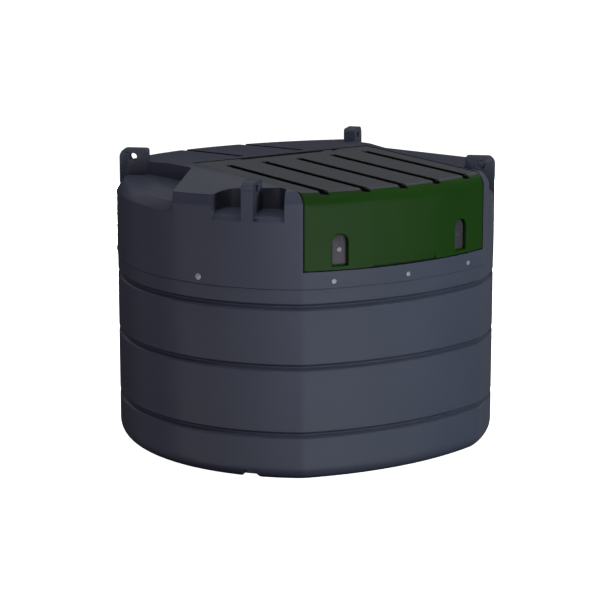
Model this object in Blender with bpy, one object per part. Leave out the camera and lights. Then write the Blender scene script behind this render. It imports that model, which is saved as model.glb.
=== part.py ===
"""Vertical storage tank: a round bunded tank in moulded plastic, with a hinged lid on top.

Metres, +Z up. The tank stands on z = 0 with its axis on the origin, and its front faces -Y.
Angles round the tank are measured from the front, towards +X.
"""

import math

import bmesh
import bpy
from mathutils import Matrix, Vector

# Plan of the tank: a circle whose front is flattened to a wider arc between two creases
TANK_RADIUS = 1.000
CREASE_ANGLE = math.radians(33.3)
FRONT_ARC_RADIUS = 1.600
STEP_ANGLE = math.radians(4.9)
TOUCH_GAP = 0.0003

# Heights
BASE_HEIGHT = 0.100
SEAM_HEIGHT = 0.990
SILL_TOP = 1.075
LID_BOTTOM = 1.080
ROOF_TOP = 1.472
LUG_TOP = 1.516

# Lower part
BUND_INSET = 0.002
WALL_THICKNESS = 0.012
BASE_ROUNDING = 0.090
BASE_ROUNDING_STEPS = 6
GROOVE_HEIGHTS = (0.243, 0.590, 0.898)
GROOVE_MOUTH = 0.034
GROOVE_BOTTOM = 0.012
GROOVE_DEPTH = 0.021
NOTCH_ANGLES = (49.5, 130.5)
NOTCH_HEIGHT = 0.050
NOTCH_MOUTH = 0.108
NOTCH_TOP = 0.056
NOTCH_LENGTH = 0.120

# Cover
COVER_WALL = 0.030
SIDE_X = TANK_RADIUS * math.sin(CREASE_ANGLE)
SIDE_ROOF_TOP = 1.4735
SIDE_ROOF_FALL = 0.100
REAR_ROOF_FALL = 0.080
REAR_EDGE_Y = 0.247
COVER_VOID_TOP = 1.275
SILL_BACK_Y = -0.720
ROOF_GROOVE_X = 0.190
ROOF_GROOVE_WIDTH = 0.027
ROOF_GROOVE_DEPTH = 0.014
ROOF_GROOVE_START = 0.335

# Recesses round the lifting lugs
SIDE_FLOOR = 1.378
SIDE_RECESS_RIM_ANGLE = math.radians(74.4)
SIDE_RECESS_CORNER = (0.612, 0.145)
FRONT_RECESS_ANGLES = (math.radians(38.6), math.radians(59.0))
FRONT_RECESS_RADIUS = 0.849
FRONT_RECESS_CORNERS = (0.050, 0.085)
FRONT_FLOOR_INNER = 1.360
FRONT_FLOOR_RIM = 1.312

# Rims of the cover, as (inset, drop) points from the wall upwards
ROOF_RIM = ((0.0, 0.057), (0.007, 0.026), (0.020, 0.0))
SIDE_RECESS_RIM = ((0.0, 0.056), (0.015, 0.022), (0.040, 0.0))
FRONT_RECESS_RIM = ((0.0, 0.034), (0.007, 0.016), (0.018, 0.005), (0.034, 0.0))

# Lifting lugs
LUG_ANGLES = (49.4, 130.6)
LUG_OUTER = 0.9990
LUG_INNER = 0.8465
LUG_THICKNESS = 0.062
LUG_CORNER = 0.022
LUG_HOLE_RADIUS = 0.021
LUG_HOLE_CENTRE = (0.925, 1.473)
LUG_HOLE_CHAMFER = 0.010

# Lid
LID_HALF_WIDTH = SIDE_X - 0.0055
LID_THICKNESS = 0.036
LID_BEND_RADIUS = 0.060
LID_STATIONS = 24
HINGE_RADIUS = LID_THICKNESS / 2
HINGE_Y = REAR_EDGE_Y - 0.005 - HINGE_RADIUS
HINGE_Z = ROOF_TOP - HINGE_RADIUS
LID_SLOT_HALF_WIDTH = 0.3165
LID_SLOT_FRONT = HINGE_Y - 0.024
SLAT_GROOVE_PITCH = 0.215
SLAT_GROOVE_WIDTH = 0.032
SLAT_GROOVE_DEPTH = 0.018
SLAT_GROOVE_REAR = 0.085
GRIP_HALF_WIDTH = 0.190
GRIP_HEIGHT = 0.022
GRIP_DEPTH = 0.012

# Lock plates in the lid's front
LOCK_X = 0.367
LOCK_BOTTOM = 1.113
LOCK_HEIGHT = 0.148
LOCK_WIDTH = 0.073
LOCK_RECESS = 0.012
LOCK_PLATE_THICKNESS = 0.006
LOCK_PLATE_MARGIN = 0.003
LOCK_BARREL_RADIUS = 0.012
LOCK_BARREL_LENGTH = 0.010
LOCK_BARREL_HEIGHT = 1.183

# Hinge blocks
HINGE_BLOCK_X = (0.262, 0.3115)
HINGE_BLOCK_RADIUS = 0.0135
HINGE_PIN_RADIUS = 0.006
HINGE_BORE_RADIUS = 0.0066
HINGE_PIN_END = 0.360
HINGE_BORE_END = 0.365

# Cabinet under the lid
CABINET_FLOOR = (1.000, 1.030)
FILLER_PLACE = (0.0, -0.250)
NECK_RADIUS = 0.052
NECK_TOP = 1.085
CAP_RADIUS = 0.062
CAP_TOP = 1.120
CAP_BEVEL = 0.006

SMOOTH_ANGLE = math.radians(28)


def clear_scene():
    for thing in list(bpy.data.objects):
        bpy.data.objects.remove(thing, do_unlink=True)


def make_material(name, colour, roughness, metallic=0.0):
    material = bpy.data.materials.new(name)
    material.use_nodes = True
    shader = material.node_tree.nodes["Principled BSDF"]
    shader.inputs["Base Color"].default_value = (*colour, 1.0)
    shader.inputs["Roughness"].default_value = roughness
    shader.inputs["Metallic"].default_value = metallic
    return material


def finish_object(name, mesh_builder, material):
    """Close the builder's mesh, turn its faces outwards and link it as a named object."""
    bmesh.ops.recalc_face_normals(mesh_builder, faces=mesh_builder.faces)
    mesh = bpy.data.meshes.new(name)
    mesh_builder.to_mesh(mesh)
    mesh_builder.free()
    mesh.shade_smooth()
    mesh.set_sharp_from_angle(angle=SMOOTH_ANGLE)
    thing = bpy.data.objects.new(name, mesh)
    bpy.context.collection.objects.link(thing)
    if material:
        mesh.materials.append(material)
    else:
        thing.hide_render = True
        thing.display_type = 'WIRE'
    return thing


def cut(thing, cutter):
    modifier = thing.modifiers.new(cutter.name, 'BOOLEAN')
    modifier.operation = 'DIFFERENCE'
    modifier.solver = 'EXACT'
    modifier.object = cutter


def join(thing, other):
    modifier = thing.modifiers.new(other.name, 'BOOLEAN')
    modifier.operation = 'UNION'
    modifier.solver = 'EXACT'
    modifier.object = other


def outline_radius(angle):
    """Radius of the tank's plan at an angle from the front."""
    turned = abs((angle + math.pi) % (2 * math.pi) - math.pi)
    if turned >= CREASE_ANGLE:
        return TANK_RADIUS
    centre = front_arc_centre()
    along = centre * math.cos(turned)
    return -along + math.sqrt(along ** 2 + FRONT_ARC_RADIUS ** 2 - centre ** 2)


def front_arc_centre():
    """Y of the centre of the flattened front arc, which passes through both creases."""
    half_width = TANK_RADIUS * math.sin(CREASE_ANGLE)
    depth = TANK_RADIUS * math.cos(CREASE_ANGLE)
    return math.sqrt(FRONT_ARC_RADIUS ** 2 - half_width ** 2) - depth


def front_y(x):
    """Y of the outer front face at a distance x from the middle."""
    return front_arc_centre() - math.sqrt(FRONT_ARC_RADIUS ** 2 - x ** 2)


def polar(radius, angle, z=0.0):
    return Vector((radius * math.sin(angle), -radius * math.cos(angle), z))


def angle_steps(start, end):
    count = max(1, round(abs(end - start) / STEP_ANGLE))
    return [start + (end - start) * index / count for index in range(count + 1)]


def loft(name, rings, material):
    """Skin closed rings of points one to the next, and cap the ends."""
    builder = bmesh.new()
    rows = [[builder.verts.new(point) for point in ring] for ring in rings]
    size = len(rows[0])
    for near, far in zip(rows, rows[1:]):
        for index in range(size):
            following = (index + 1) % size
            builder.faces.new((near[index], near[following], far[following], far[index]))
    builder.faces.new(rows[0])
    builder.faces.new(list(reversed(rows[-1])))
    return finish_object(name, builder, material)


def prism(name, plan, low, high, material=None):
    """Upright solid on a plan; low and high are heights, or functions of a plan point."""
    heights = [edge if callable(edge) else (lambda point, edge=edge: edge) for edge in (low, high)]
    rings = [[(x, y, height((x, y))) for x, y in plan] for height in heights]
    return loft(name, rings, material)


def turned_solid(name, profile, material=None, sides=32):
    """Solid of revolution about Z through the profile's (radius, z) points, ends capped."""
    rings = []
    for radius, z in profile:
        turns = [2 * math.pi * index / sides for index in range(sides)]
        rings.append([(radius * math.cos(turn), radius * math.sin(turn), z) for turn in turns])
    return loft(name, rings, material)


def place(thing, matrix):
    """Put a mesh where it belongs, with the place in the mesh and the origin left at zero."""
    thing.data.transform(matrix)
    return thing


def wall_face(inset):
    """One face of the grooved wall, from bottom to top, as (inset, z) points."""
    points = [(inset, BASE_HEIGHT + TOUCH_GAP)]
    for height in GROOVE_HEIGHTS:
        points.append((inset, height - GROOVE_MOUTH / 2))
        points.append((inset + GROOVE_DEPTH, height - GROOVE_BOTTOM / 2))
        points.append((inset + GROOVE_DEPTH, height + GROOVE_BOTTOM / 2))
        points.append((inset, height + GROOVE_MOUTH / 2))
    points.append((inset, SEAM_HEIGHT))
    return points


def make_wall(name, start, end, material):
    """One upright strip of the grooved wall between two angles."""
    half_gap = TOUCH_GAP / 2 / TANK_RADIUS
    profile = wall_face(BUND_INSET) + wall_face(BUND_INSET + WALL_THICKNESS)[::-1]
    rings = []
    for angle in angle_steps(start + half_gap, end - half_gap):
        radius = outline_radius(angle)
        rings.append([polar(radius - inset, angle, z) for inset, z in profile])
    return loft(name, rings, material)


def make_walls(material):
    back_angle = (math.pi + CREASE_ANGLE) / 2
    make_wall("bund_wall_front", -CREASE_ANGLE, CREASE_ANGLE, material)
    make_wall("bund_wall_right", CREASE_ANGLE, back_angle, material)
    make_wall("bund_wall_rear_right", back_angle, math.pi, material)
    make_wall("bund_wall_rear_left", -math.pi, -back_angle, material)
    make_wall("bund_wall_left", -back_angle, -CREASE_ANGLE, material)


def make_base(material):
    """Thick foot with a rounded lower edge and a tapered strap notch under each lug."""
    profile = []
    for step in range(BASE_ROUNDING_STEPS + 1):
        turn = math.pi / 2 * step / BASE_ROUNDING_STEPS
        inset = BUND_INSET + BASE_ROUNDING * (1 - math.sin(turn))
        profile.append((inset, BASE_ROUNDING * (1 - math.cos(turn))))
    profile.append((BUND_INSET, BASE_HEIGHT))
    angles = angle_steps(-CREASE_ANGLE, CREASE_ANGLE)
    angles += angle_steps(CREASE_ANGLE, 2 * math.pi - CREASE_ANGLE)[1:-1]
    rings = []
    for inset, z in profile:
        rings.append([polar(outline_radius(angle) - inset, angle, z) for angle in angles])
    base = loft("bund_base", rings, material)
    for side in (-1, 1):
        for degrees in NOTCH_ANGLES:
            cut(base, make_notch_cutter(side * math.radians(degrees)))


def make_notch_cutter(angle):
    """Tapered channel pointing at the tank's axis, open at the rim and below."""
    below = 0.010
    outline = [(-NOTCH_MOUTH / 2, -below), (NOTCH_MOUTH / 2, -below), (NOTCH_MOUTH / 2, 0.0),
               (NOTCH_TOP / 2, NOTCH_HEIGHT), (-NOTCH_TOP / 2, NOTCH_HEIGHT), (-NOTCH_MOUTH / 2, 0.0)]
    start = TANK_RADIUS - NOTCH_LENGTH
    end = TANK_RADIUS + below
    rings = [[(across, -reach, z) for across, z in outline] for reach in (start, end)]
    cutter = loft("notch_cutter", rings, None)
    return place(cutter, Matrix.Rotation(angle, 4, 'Z'))


def side_roof(point):
    return SIDE_ROOF_TOP - SIDE_ROOF_FALL * (abs(point[0]) - SIDE_X)


def rear_roof(point):
    return ROOF_TOP - REAR_ROOF_FALL * (point[1] - REAR_EDGE_Y)


def slice_top(builder, height_at, middle):
    """Cut away what stands above the sloping plane that the roof follows near a plan point."""
    reach = 0.1
    corners = [middle, (middle[0] + reach, middle[1]), (middle[0], middle[1] + reach)]
    points = [Vector((x, y, height_at((x, y)))) for x, y in corners]
    normal = (points[1] - points[0]).cross(points[2] - points[0])
    geometry = builder.verts[:] + builder.edges[:] + builder.faces[:]
    result = bmesh.ops.bisect_plane(builder, geom=geometry, plane_co=points[0], plane_no=normal,
                                    clear_outer=True)
    rim = [part for part in result["geom_cut"] if isinstance(part, bmesh.types.BMEdge)]
    bmesh.ops.contextual_create(builder, geom=rim)


def make_cover_block(name, plan, slopes, material):
    """Upright block under a sloping roof."""
    builder = bmesh.new()
    tall = 1.6
    low = [builder.verts.new((x, y, SEAM_HEIGHT + TOUCH_GAP)) for x, y in plan]
    high = [builder.verts.new((x, y, tall)) for x, y in plan]
    for index in range(len(plan)):
        following = (index + 1) % len(plan)
        builder.faces.new((low[index], low[following], high[following], high[index]))
    builder.faces.new(list(reversed(low)))
    builder.faces.new(high)
    bmesh.ops.recalc_face_normals(builder, faces=builder.faces)
    middle = [sum(point[axis] for point in plan) / len(plan) for axis in (0, 1)]
    for slope in slopes:
        slice_top(builder, slope, middle)
    return finish_object(name, builder, material)


def arc_points(radius, start, end):
    return [tuple(polar(radius, angle)[:2]) for angle in angle_steps(start, end)]


def fixed(angle):
    """End of a rim that lies on one angle at every radius."""
    return lambda radius: angle


def on_line(start, direction):
    """End of a rim that follows a straight line in plan."""
    along = start.dot(direction)

    def angle_at(radius):
        point = start + direction * (math.sqrt(along ** 2 - start.dot(start) + radius ** 2) - along)
        return math.atan2(point.x, -point.y)

    return angle_at


def make_rim_cutter(side, angles, ends, top_at, profile):
    """What a rim's profile takes off the wall between two ends; the angles are the wall's own corners."""
    past = 0.03
    section = [(-past, profile[0][1]), *profile, (profile[-1][0], -past), (-past, -past)]
    first, last = ([end_at(TANK_RADIUS - inset) for inset, drop in section] for end_at in ends)
    between = [[angle] * len(section) for angle in angles if max(first) < angle < min(last)]
    rings = []
    for turns in [first, *between, last]:
        ring = []
        for angle, (inset, drop) in zip(turns, section):
            point = polar(TANK_RADIUS - inset, side * angle)
            point.z = top_at(point) - drop
            ring.append(point)
        rings.append(ring)
    return loft("rim_cutter", rings, None)


def make_side_rims(side):
    """Cutters for the pillar's bend, the roof's rim and the rims of the two recesses."""
    angles = angle_steps(CREASE_ANGLE, math.pi - CREASE_ANGLE)
    past = math.radians(3)
    bend_steps = 5
    bend = []
    for step in range(bend_steps + 1):
        turn = math.pi / 2 * step / bend_steps
        bend.append((LID_BEND_RADIUS * (1 - math.cos(turn)), LID_BEND_RADIUS * (1 - math.sin(turn))))
    front_lug, rear_lug = (math.radians(degrees) for degrees in LUG_ANGLES)
    half = LUG_THICKNESS / 2
    corner = Vector((*SIDE_RECESS_CORNER, 0))
    near_wall = on_line(corner, (polar(TANK_RADIUS, SIDE_RECESS_RIM_ANGLE) - corner).normalized())
    low, high = FRONT_RECESS_ANGLES
    rims = [(fixed(CREASE_ANGLE - past), fixed(low + past), side_roof, bend),
            (fixed(high - past), fixed(SIDE_RECESS_RIM_ANGLE + past), side_roof, ROOF_RIM),
            (fixed(rear_lug), fixed(math.pi - CREASE_ANGLE + past), rear_roof, ROOF_RIM),
            (near_wall, on_line(lug_corner(rear_lug, 0, -half), polar(1.0, rear_lug)),
             side_floor, SIDE_RECESS_RIM),
            (fixed(low), on_line(lug_corner(front_lug, 0, -half), polar(1.0, front_lug)),
             front_floor, FRONT_RECESS_RIM),
            (on_line(lug_corner(front_lug, 0, half), polar(1.0, front_lug)), fixed(high),
             front_floor, FRONT_RECESS_RIM)]
    return [make_rim_cutter(side, angles, rim[:2], *rim[2:]) for rim in rims]


def make_side_cover(side, name, material):
    """Cover beside the lid: its roof falls outwards, with recesses for the two lugs."""
    start = CREASE_ANGLE
    end = math.pi - CREASE_ANGLE
    plan = [(side * x, y) for x, y in arc_points(TANK_RADIUS, start, end)]
    cover = make_cover_block(name, plan, (side_roof, rear_roof), material)

    inner_angle = math.asin((SIDE_X + COVER_WALL) / (TANK_RADIUS - COVER_WALL))
    void_plan = arc_points(TANK_RADIUS - COVER_WALL, inner_angle, math.pi - inner_angle)
    void = prism("side_void_cutter", [(side * x, y) for x, y in void_plan],
                 SEAM_HEIGHT - COVER_WALL, COVER_VOID_TOP)
    cut(cover, void)
    cut(cover, make_side_recess_cutter(side))
    cut(cover, make_front_recess_cutter(side))
    for rim in make_side_rims(side):
        cut(cover, rim)


def lug_corner(angle, reach, across):
    """Plan point beside a lug: reach along its own direction, across towards the rear."""
    outward = polar(1.0, angle)
    tangent = Vector((-outward.y, outward.x, 0))
    return outward * reach + tangent * across


def make_side_recess_cutter(side):
    """Stepped-down triangle between the lid's rear corner, the rim and the rear lug."""
    angle = math.radians(LUG_ANGLES[1])
    margin = 0.06
    half = LUG_THICKNESS / 2 + TOUCH_GAP
    near = lug_corner(angle, LUG_INNER - TOUCH_GAP, -half)
    far = lug_corner(angle, LUG_INNER - TOUCH_GAP, half)
    outside = lug_corner(angle, TANK_RADIUS + margin, half)
    rim = polar(TANK_RADIUS, SIDE_RECESS_RIM_ANGLE)
    corner = Vector((*SIDE_RECESS_CORNER, 0))
    beyond = rim + (rim - corner).normalized() * margin
    plan = [tuple(corner[:2]), tuple(near[:2]), tuple(far[:2]), tuple(outside[:2])]
    start = math.atan2(outside.x, -outside.y)
    end = math.atan2(beyond.x, -beyond.y)
    plan += arc_points(TANK_RADIUS + 2 * margin, start, end)
    plan.append(tuple(beyond[:2]))
    return prism("side_recess_cutter", [(side * x, y) for x, y in plan], SIDE_FLOOR, LUG_TOP + margin)


def side_floor(point):
    return SIDE_FLOOR


def front_floor(point):
    """Floor of the front lug's recess, which falls towards the rim."""
    angle = math.radians(LUG_ANGLES[0])
    outward = polar(1.0, angle)
    reach = abs(point[0]) * outward.x + point[1] * outward.y
    fall = (FRONT_FLOOR_RIM - FRONT_FLOOR_INNER) / (TANK_RADIUS - FRONT_RECESS_RADIUS)
    return FRONT_FLOOR_INNER + fall * (reach - FRONT_RECESS_RADIUS)


def make_front_recess_cutter(side):
    """Recess round the front lug, open above and at the rim, with rounded inner corners."""
    low_angle, high_angle = FRONT_RECESS_ANGLES
    outer = TANK_RADIUS + 0.05
    corner_steps = 4
    plan = [tuple(polar(outer, low_angle)[:2])]
    for end, bend, corner in zip(FRONT_RECESS_ANGLES, (1, -1), FRONT_RECESS_CORNERS):
        centre_radius = FRONT_RECESS_RADIUS + corner
        centre_angle = end + bend * math.asin(corner / centre_radius)
        centre = polar(centre_radius, centre_angle)
        for step in range(corner_steps + 1):
            turn = math.pi / 2 * step / corner_steps
            if bend < 0:
                turn = math.pi / 2 - turn
            inward = polar(-1.0, centre_angle) * math.sin(turn)
            sideways = Vector((math.cos(centre_angle), math.sin(centre_angle), 0)) * -bend * math.cos(turn)
            plan.append(tuple((centre + (inward + sideways) * corner)[:2]))
    plan.append(tuple(polar(outer, high_angle)[:2]))
    return prism("front_recess_cutter", [(side * x, y) for x, y in plan], front_floor, LUG_TOP + 0.05)


def make_rear_cover(material):
    """Rear roof: a block behind the hinge line with two drain grooves down its slope."""
    half_width = SIDE_X - TOUCH_GAP
    edge_angle = math.asin(half_width / TANK_RADIUS)
    plan = arc_points(TANK_RADIUS, math.pi - edge_angle, math.pi + edge_angle)
    plan += [(-half_width, REAR_EDGE_Y), (half_width, REAR_EDGE_Y)]
    cover = make_cover_block("cover_rear", plan, (rear_roof,), material)

    inner_half = half_width - COVER_WALL
    inner_radius = TANK_RADIUS - COVER_WALL
    inner_angle = math.asin(inner_half / inner_radius)
    void_plan = arc_points(inner_radius, math.pi - inner_angle, math.pi + inner_angle)
    void_plan += [(-inner_half, REAR_EDGE_Y + COVER_WALL), (inner_half, REAR_EDGE_Y + COVER_WALL)]
    cut(cover, prism("rear_void_cutter", void_plan, SEAM_HEIGHT - COVER_WALL, COVER_VOID_TOP))
    angles = angle_steps(math.pi - edge_angle, math.pi + edge_angle)
    past = math.radians(3)
    cut(cover, make_rim_cutter(1, angles, (fixed(angles[0] - past), fixed(angles[-1] + past)),
                               rear_roof, ROOF_RIM))

    for side in (-1, 1):
        low_x = side * ROOF_GROOVE_X - ROOF_GROOVE_WIDTH / 2
        high_x = low_x + ROOF_GROOVE_WIDTH
        reach = TANK_RADIUS + 0.02
        plan = [(low_x, ROOF_GROOVE_START), (high_x, ROOF_GROOVE_START), (high_x, reach), (low_x, reach)]
        groove = prism("roof_groove_cutter", plan, lambda point: rear_roof(point) - ROOF_GROOVE_DEPTH, 1.6)
        cut(cover, groove)


def make_front_sill(material):
    """Band of the cover that runs across the front, under the lid."""
    half_width = SIDE_X - TOUCH_GAP
    rings = []
    for index in range(LID_STATIONS + 1):
        x = half_width * (2 * index / LID_STATIONS - 1)
        y = front_y(x)
        low = SEAM_HEIGHT + TOUCH_GAP
        rings.append([(x, y, low), (x, SILL_BACK_Y, low), (x, SILL_BACK_Y, SILL_TOP), (x, y, SILL_TOP)])
    loft("cover_front", rings, material)


def make_cabinet_floor(material):
    half_width = SIDE_X - TOUCH_GAP
    front = SILL_BACK_Y + TOUCH_GAP
    back = REAR_EDGE_Y - TOUCH_GAP
    plan = [(-half_width, front), (half_width, front), (half_width, back), (-half_width, back)]
    prism("cabinet_floor", plan, *CABINET_FLOOR, material)


def make_lug(name, angle, floor_at, material):
    """Upright fin with a chamfered eye, its outer end flush with the tank's wall."""
    outline = [(LUG_INNER, floor_at(LUG_INNER) + TOUCH_GAP), (LUG_OUTER, floor_at(LUG_OUTER) + TOUCH_GAP)]
    corner_steps = 4
    for reach, start in ((LUG_OUTER - LUG_CORNER, 0.0), (LUG_INNER + LUG_CORNER, math.pi / 2)):
        for step in range(corner_steps + 1):
            turn = start + math.pi / 2 * step / corner_steps
            outline.append((reach + LUG_CORNER * math.cos(turn),
                            LUG_TOP - LUG_CORNER + LUG_CORNER * math.sin(turn)))
    half = LUG_THICKNESS / 2
    rings = [[(across, -reach, z) for reach, z in outline] for across in (-half, half)]
    turn = Matrix.Rotation(angle, 4, 'Z')
    lug = place(loft(name, rings, material), turn)

    wide = LUG_HOLE_RADIUS + LUG_HOLE_CHAMFER
    past = 0.004
    deep = half - LUG_HOLE_CHAMFER
    profile = [(wide + past, half + past), (LUG_HOLE_RADIUS, deep),
               (LUG_HOLE_RADIUS, -deep), (wide + past, -half - past)]
    eye = turned_solid("eye_cutter", profile, sides=24)
    reach, height = LUG_HOLE_CENTRE
    tip = Matrix.Translation((0, -reach, height)) @ Matrix.Rotation(math.pi / 2, 4, 'Y')
    cut(lug, place(eye, turn @ tip))


def make_lugs(material):
    for side, word in ((-1, "left"), (1, "right")):
        for degrees, end, floor_at in zip(LUG_ANGLES, ("front", "rear"), (front_floor, side_floor)):
            angle = math.radians(degrees)
            make_lug(f"lifting_lug_{end}_{word}", side * angle,
                     lambda reach: floor_at(polar(reach, angle)), material)


def lid_profile(x):
    """Closed section of the lid at a distance x from the middle, as (y, z) points."""
    face = front_y(x)
    points = []
    hinge_steps = 6
    for step in range(hinge_steps + 1):
        turn = math.pi / 2 - math.pi * step / hinge_steps
        points.append((HINGE_Y + HINGE_RADIUS * math.cos(turn), HINGE_Z + HINGE_RADIUS * math.sin(turn)))
    bend_steps = 5
    inner_radius = LID_BEND_RADIUS - LID_THICKNESS
    centre = (face + LID_BEND_RADIUS, ROOF_TOP - LID_BEND_RADIUS)
    for step in range(bend_steps + 1):
        turn = math.pi / 2 + math.pi / 2 * step / bend_steps
        points.append((centre[0] + inner_radius * math.cos(turn), centre[1] + inner_radius * math.sin(turn)))
    points.append((face + LID_THICKNESS, LID_BOTTOM))
    points.append((face, LID_BOTTOM))
    for step in range(bend_steps + 1):
        turn = math.pi - math.pi / 2 * step / bend_steps
        points.append((centre[0] + LID_BEND_RADIUS * math.cos(turn),
                       centre[1] + LID_BEND_RADIUS * math.sin(turn)))
    return points


def make_lid(material):
    """Lid over the cabinet: slatted top, rounded bend and flush front, hinged at the rear."""
    rings = []
    for index in range(LID_STATIONS + 1):
        x = LID_HALF_WIDTH * (2 * index / LID_STATIONS - 1)
        rings.append([(x, y, z) for y, z in lid_profile(x)])
    lid = loft("lid_shell", rings, material)

    slot = [(-LID_SLOT_HALF_WIDTH, LID_SLOT_FRONT), (LID_SLOT_HALF_WIDTH, LID_SLOT_FRONT),
            (LID_SLOT_HALF_WIDTH, REAR_EDGE_Y), (-LID_SLOT_HALF_WIDTH, REAR_EDGE_Y)]
    cut(lid, prism("hinge_slot_cutter", slot, HINGE_Z - 0.05, HINGE_Z + 0.05))

    for index in range(-2, 3):
        low_x = index * SLAT_GROOVE_PITCH - SLAT_GROOVE_WIDTH / 2
        high_x = low_x + SLAT_GROOVE_WIDTH
        front = front_y(index * SLAT_GROOVE_PITCH) - 0.02
        plan = [(low_x, front), (high_x, front), (high_x, SLAT_GROOVE_REAR), (low_x, SLAT_GROOVE_REAR)]
        cut(lid, prism("slat_groove_cutter", plan, ROOF_TOP - SLAT_GROOVE_DEPTH, ROOF_TOP + 0.02))

    stations = [GRIP_HALF_WIDTH * step / 4 for step in range(-4, 5)]
    grip = []
    for x in stations:
        outer = front_y(x) - 0.01
        inner = front_y(x) + GRIP_DEPTH
        low = LID_BOTTOM - 0.01
        grip.append([(x, outer, low), (x, inner, low), (x, inner, LID_BOTTOM + GRIP_HEIGHT),
                     (x, outer, LID_BOTTOM + GRIP_HEIGHT)])
    cut(lid, loft("grip_cutter", grip, None))

    for side in (-1, 1):
        cut(lid, make_lock_plate("lock_recess_cutter", side, 0.0, -0.02, LOCK_RECESS, None))
        low_x, high_x = LID_SLOT_HALF_WIDTH - 0.01, HINGE_BORE_END
        bore = turned_solid("hinge_bore_cutter", [(HINGE_BORE_RADIUS, low_x), (HINGE_BORE_RADIUS, high_x)],
                            sides=16)
        turn = Matrix.Translation((0, HINGE_Y, HINGE_Z)) @ Matrix.Rotation(side * math.pi / 2, 4, 'Y')
        cut(lid, place(bore, turn))


def lock_frame(side):
    """Frame on the lid's front at a lock: X across, Y into the lid, Z up."""
    x = side * LOCK_X
    centre = front_arc_centre()
    lean = math.atan2(x, centre - front_y(x))
    return Matrix.Translation((x, front_y(x), 0)) @ Matrix.Rotation(lean, 4, 'Z')


def make_lock_plate(name, side, margin, start, end, material):
    """Upright plate with an arched top, between two depths below the lid's face."""
    half = LOCK_WIDTH / 2 - margin
    low = LOCK_BOTTOM + margin
    arch_centre = LOCK_BOTTOM + LOCK_HEIGHT - LOCK_WIDTH / 2
    outline = [(-half, low), (half, low)]
    arch_steps = 10
    for step in range(arch_steps + 1):
        turn = math.pi * step / arch_steps
        outline.append((half * math.cos(turn), arch_centre + half * math.sin(turn)))
    rings = [[(x, depth, z) for x, z in outline] for depth in (start, end)]
    return place(loft(name, rings, material), lock_frame(side))


def make_locks(plate_material, barrel_material):
    front = LOCK_RECESS - LOCK_PLATE_THICKNESS
    for side, word in ((-1, "left"), (1, "right")):
        make_lock_plate(f"lock_plate_{word}", side, LOCK_PLATE_MARGIN, front - TOUCH_GAP,
                        LOCK_RECESS - TOUCH_GAP, plate_material)
        near = front - 2 * TOUCH_GAP
        barrel = turned_solid(f"lock_barrel_{word}",
                              [(LOCK_BARREL_RADIUS, -near), (LOCK_BARREL_RADIUS, -near + LOCK_BARREL_LENGTH)],
                              barrel_material, sides=20)
        turn = Matrix.Translation((0, 0, LOCK_BARREL_HEIGHT)) @ Matrix.Rotation(math.pi / 2, 4, 'X')
        place(barrel, lock_frame(side) @ turn)


def make_hinges(material):
    """Hinge blocks on the rear roof's edge, each with a pin that enters the lid's rear edge."""
    low_x, high_x = HINGE_BLOCK_X
    back = REAR_EDGE_Y - TOUCH_GAP
    outline = [(back, HINGE_Z - HINGE_BLOCK_RADIUS), (back, HINGE_Z + HINGE_BLOCK_RADIUS)]
    steps = 8
    for step in range(steps + 1):
        turn = math.pi / 2 + math.pi * step / steps
        outline.append((HINGE_Y + HINGE_BLOCK_RADIUS * math.cos(turn),
                        HINGE_Z + HINGE_BLOCK_RADIUS * math.sin(turn)))
    for side, word in ((-1, "left"), (1, "right")):
        rings = [[(side * x, y, z) for y, z in outline] for x in (low_x, high_x)]
        block = loft(f"hinge_block_{word}", rings, material)
        pin = turned_solid("pin_shape", [(HINGE_PIN_RADIUS, low_x + 0.01), (HINGE_PIN_RADIUS, HINGE_PIN_END)],
                           sides=16)
        turn = Matrix.Translation((0, HINGE_Y, HINGE_Z)) @ Matrix.Rotation(side * math.pi / 2, 4, 'Y')
        join(block, place(pin, turn))


def make_filler(neck_material, cap_material):
    """Filling neck on the cabinet floor with its screw cap."""
    bottom = CABINET_FLOOR[1] + TOUCH_GAP
    place_at = Matrix.Translation((*FILLER_PLACE, 0))
    neck = turned_solid("filler_neck", [(NECK_RADIUS, bottom), (NECK_RADIUS, NECK_TOP)], neck_material)
    place(neck, place_at)
    low = NECK_TOP + TOUCH_GAP
    profile = [(CAP_RADIUS, low), (CAP_RADIUS, CAP_TOP - CAP_BEVEL), (CAP_RADIUS - CAP_BEVEL, CAP_TOP)]
    place(turned_solid("filler_cap", profile, cap_material), place_at)


def main():
    clear_scene()
    body_plastic = make_material("slate_plastic", (0.060, 0.067, 0.091), 0.55)
    lid_plastic = make_material("green_plastic", (0.022, 0.054, 0.019), 0.50)
    dark_plastic = make_material("dark_plastic", (0.030, 0.031, 0.036), 0.55)
    plate = make_material("lock_plate_steel", (0.076, 0.070, 0.086), 0.45, 0.3)
    steel = make_material("zinc_steel", (0.540, 0.580, 0.620), 0.35, 0.9)
    make_base(body_plastic)
    make_walls(body_plastic)
    make_side_cover(-1, "cover_left", body_plastic)
    make_side_cover(1, "cover_right", body_plastic)
    make_rear_cover(body_plastic)
    make_front_sill(body_plastic)
    make_cabinet_floor(dark_plastic)
    make_lugs(body_plastic)
    make_lid(lid_plastic)
    make_locks(plate, steel)
    make_hinges(body_plastic)
    make_filler(dark_plastic, dark_plastic)


main()
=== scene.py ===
# %% [markdown]
# # A bunded storage tank in moulded plastic
#
# The real object is a tank inside a second tank (the bund), moulded in dark slate plastic. It is
# about two metres across, stands on a flat base, and has a cover with four lifting lugs. A green lid
# with a slatted grey top is hinged across the middle of the roof and closes flush with the front.
#
# This notebook dresses a plain CAD model of the tank, the frame. Every piece made here keeps to the
# frame's box, to within 2 mm, and moves with one of its two bodies, the tank or the lid.

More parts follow.
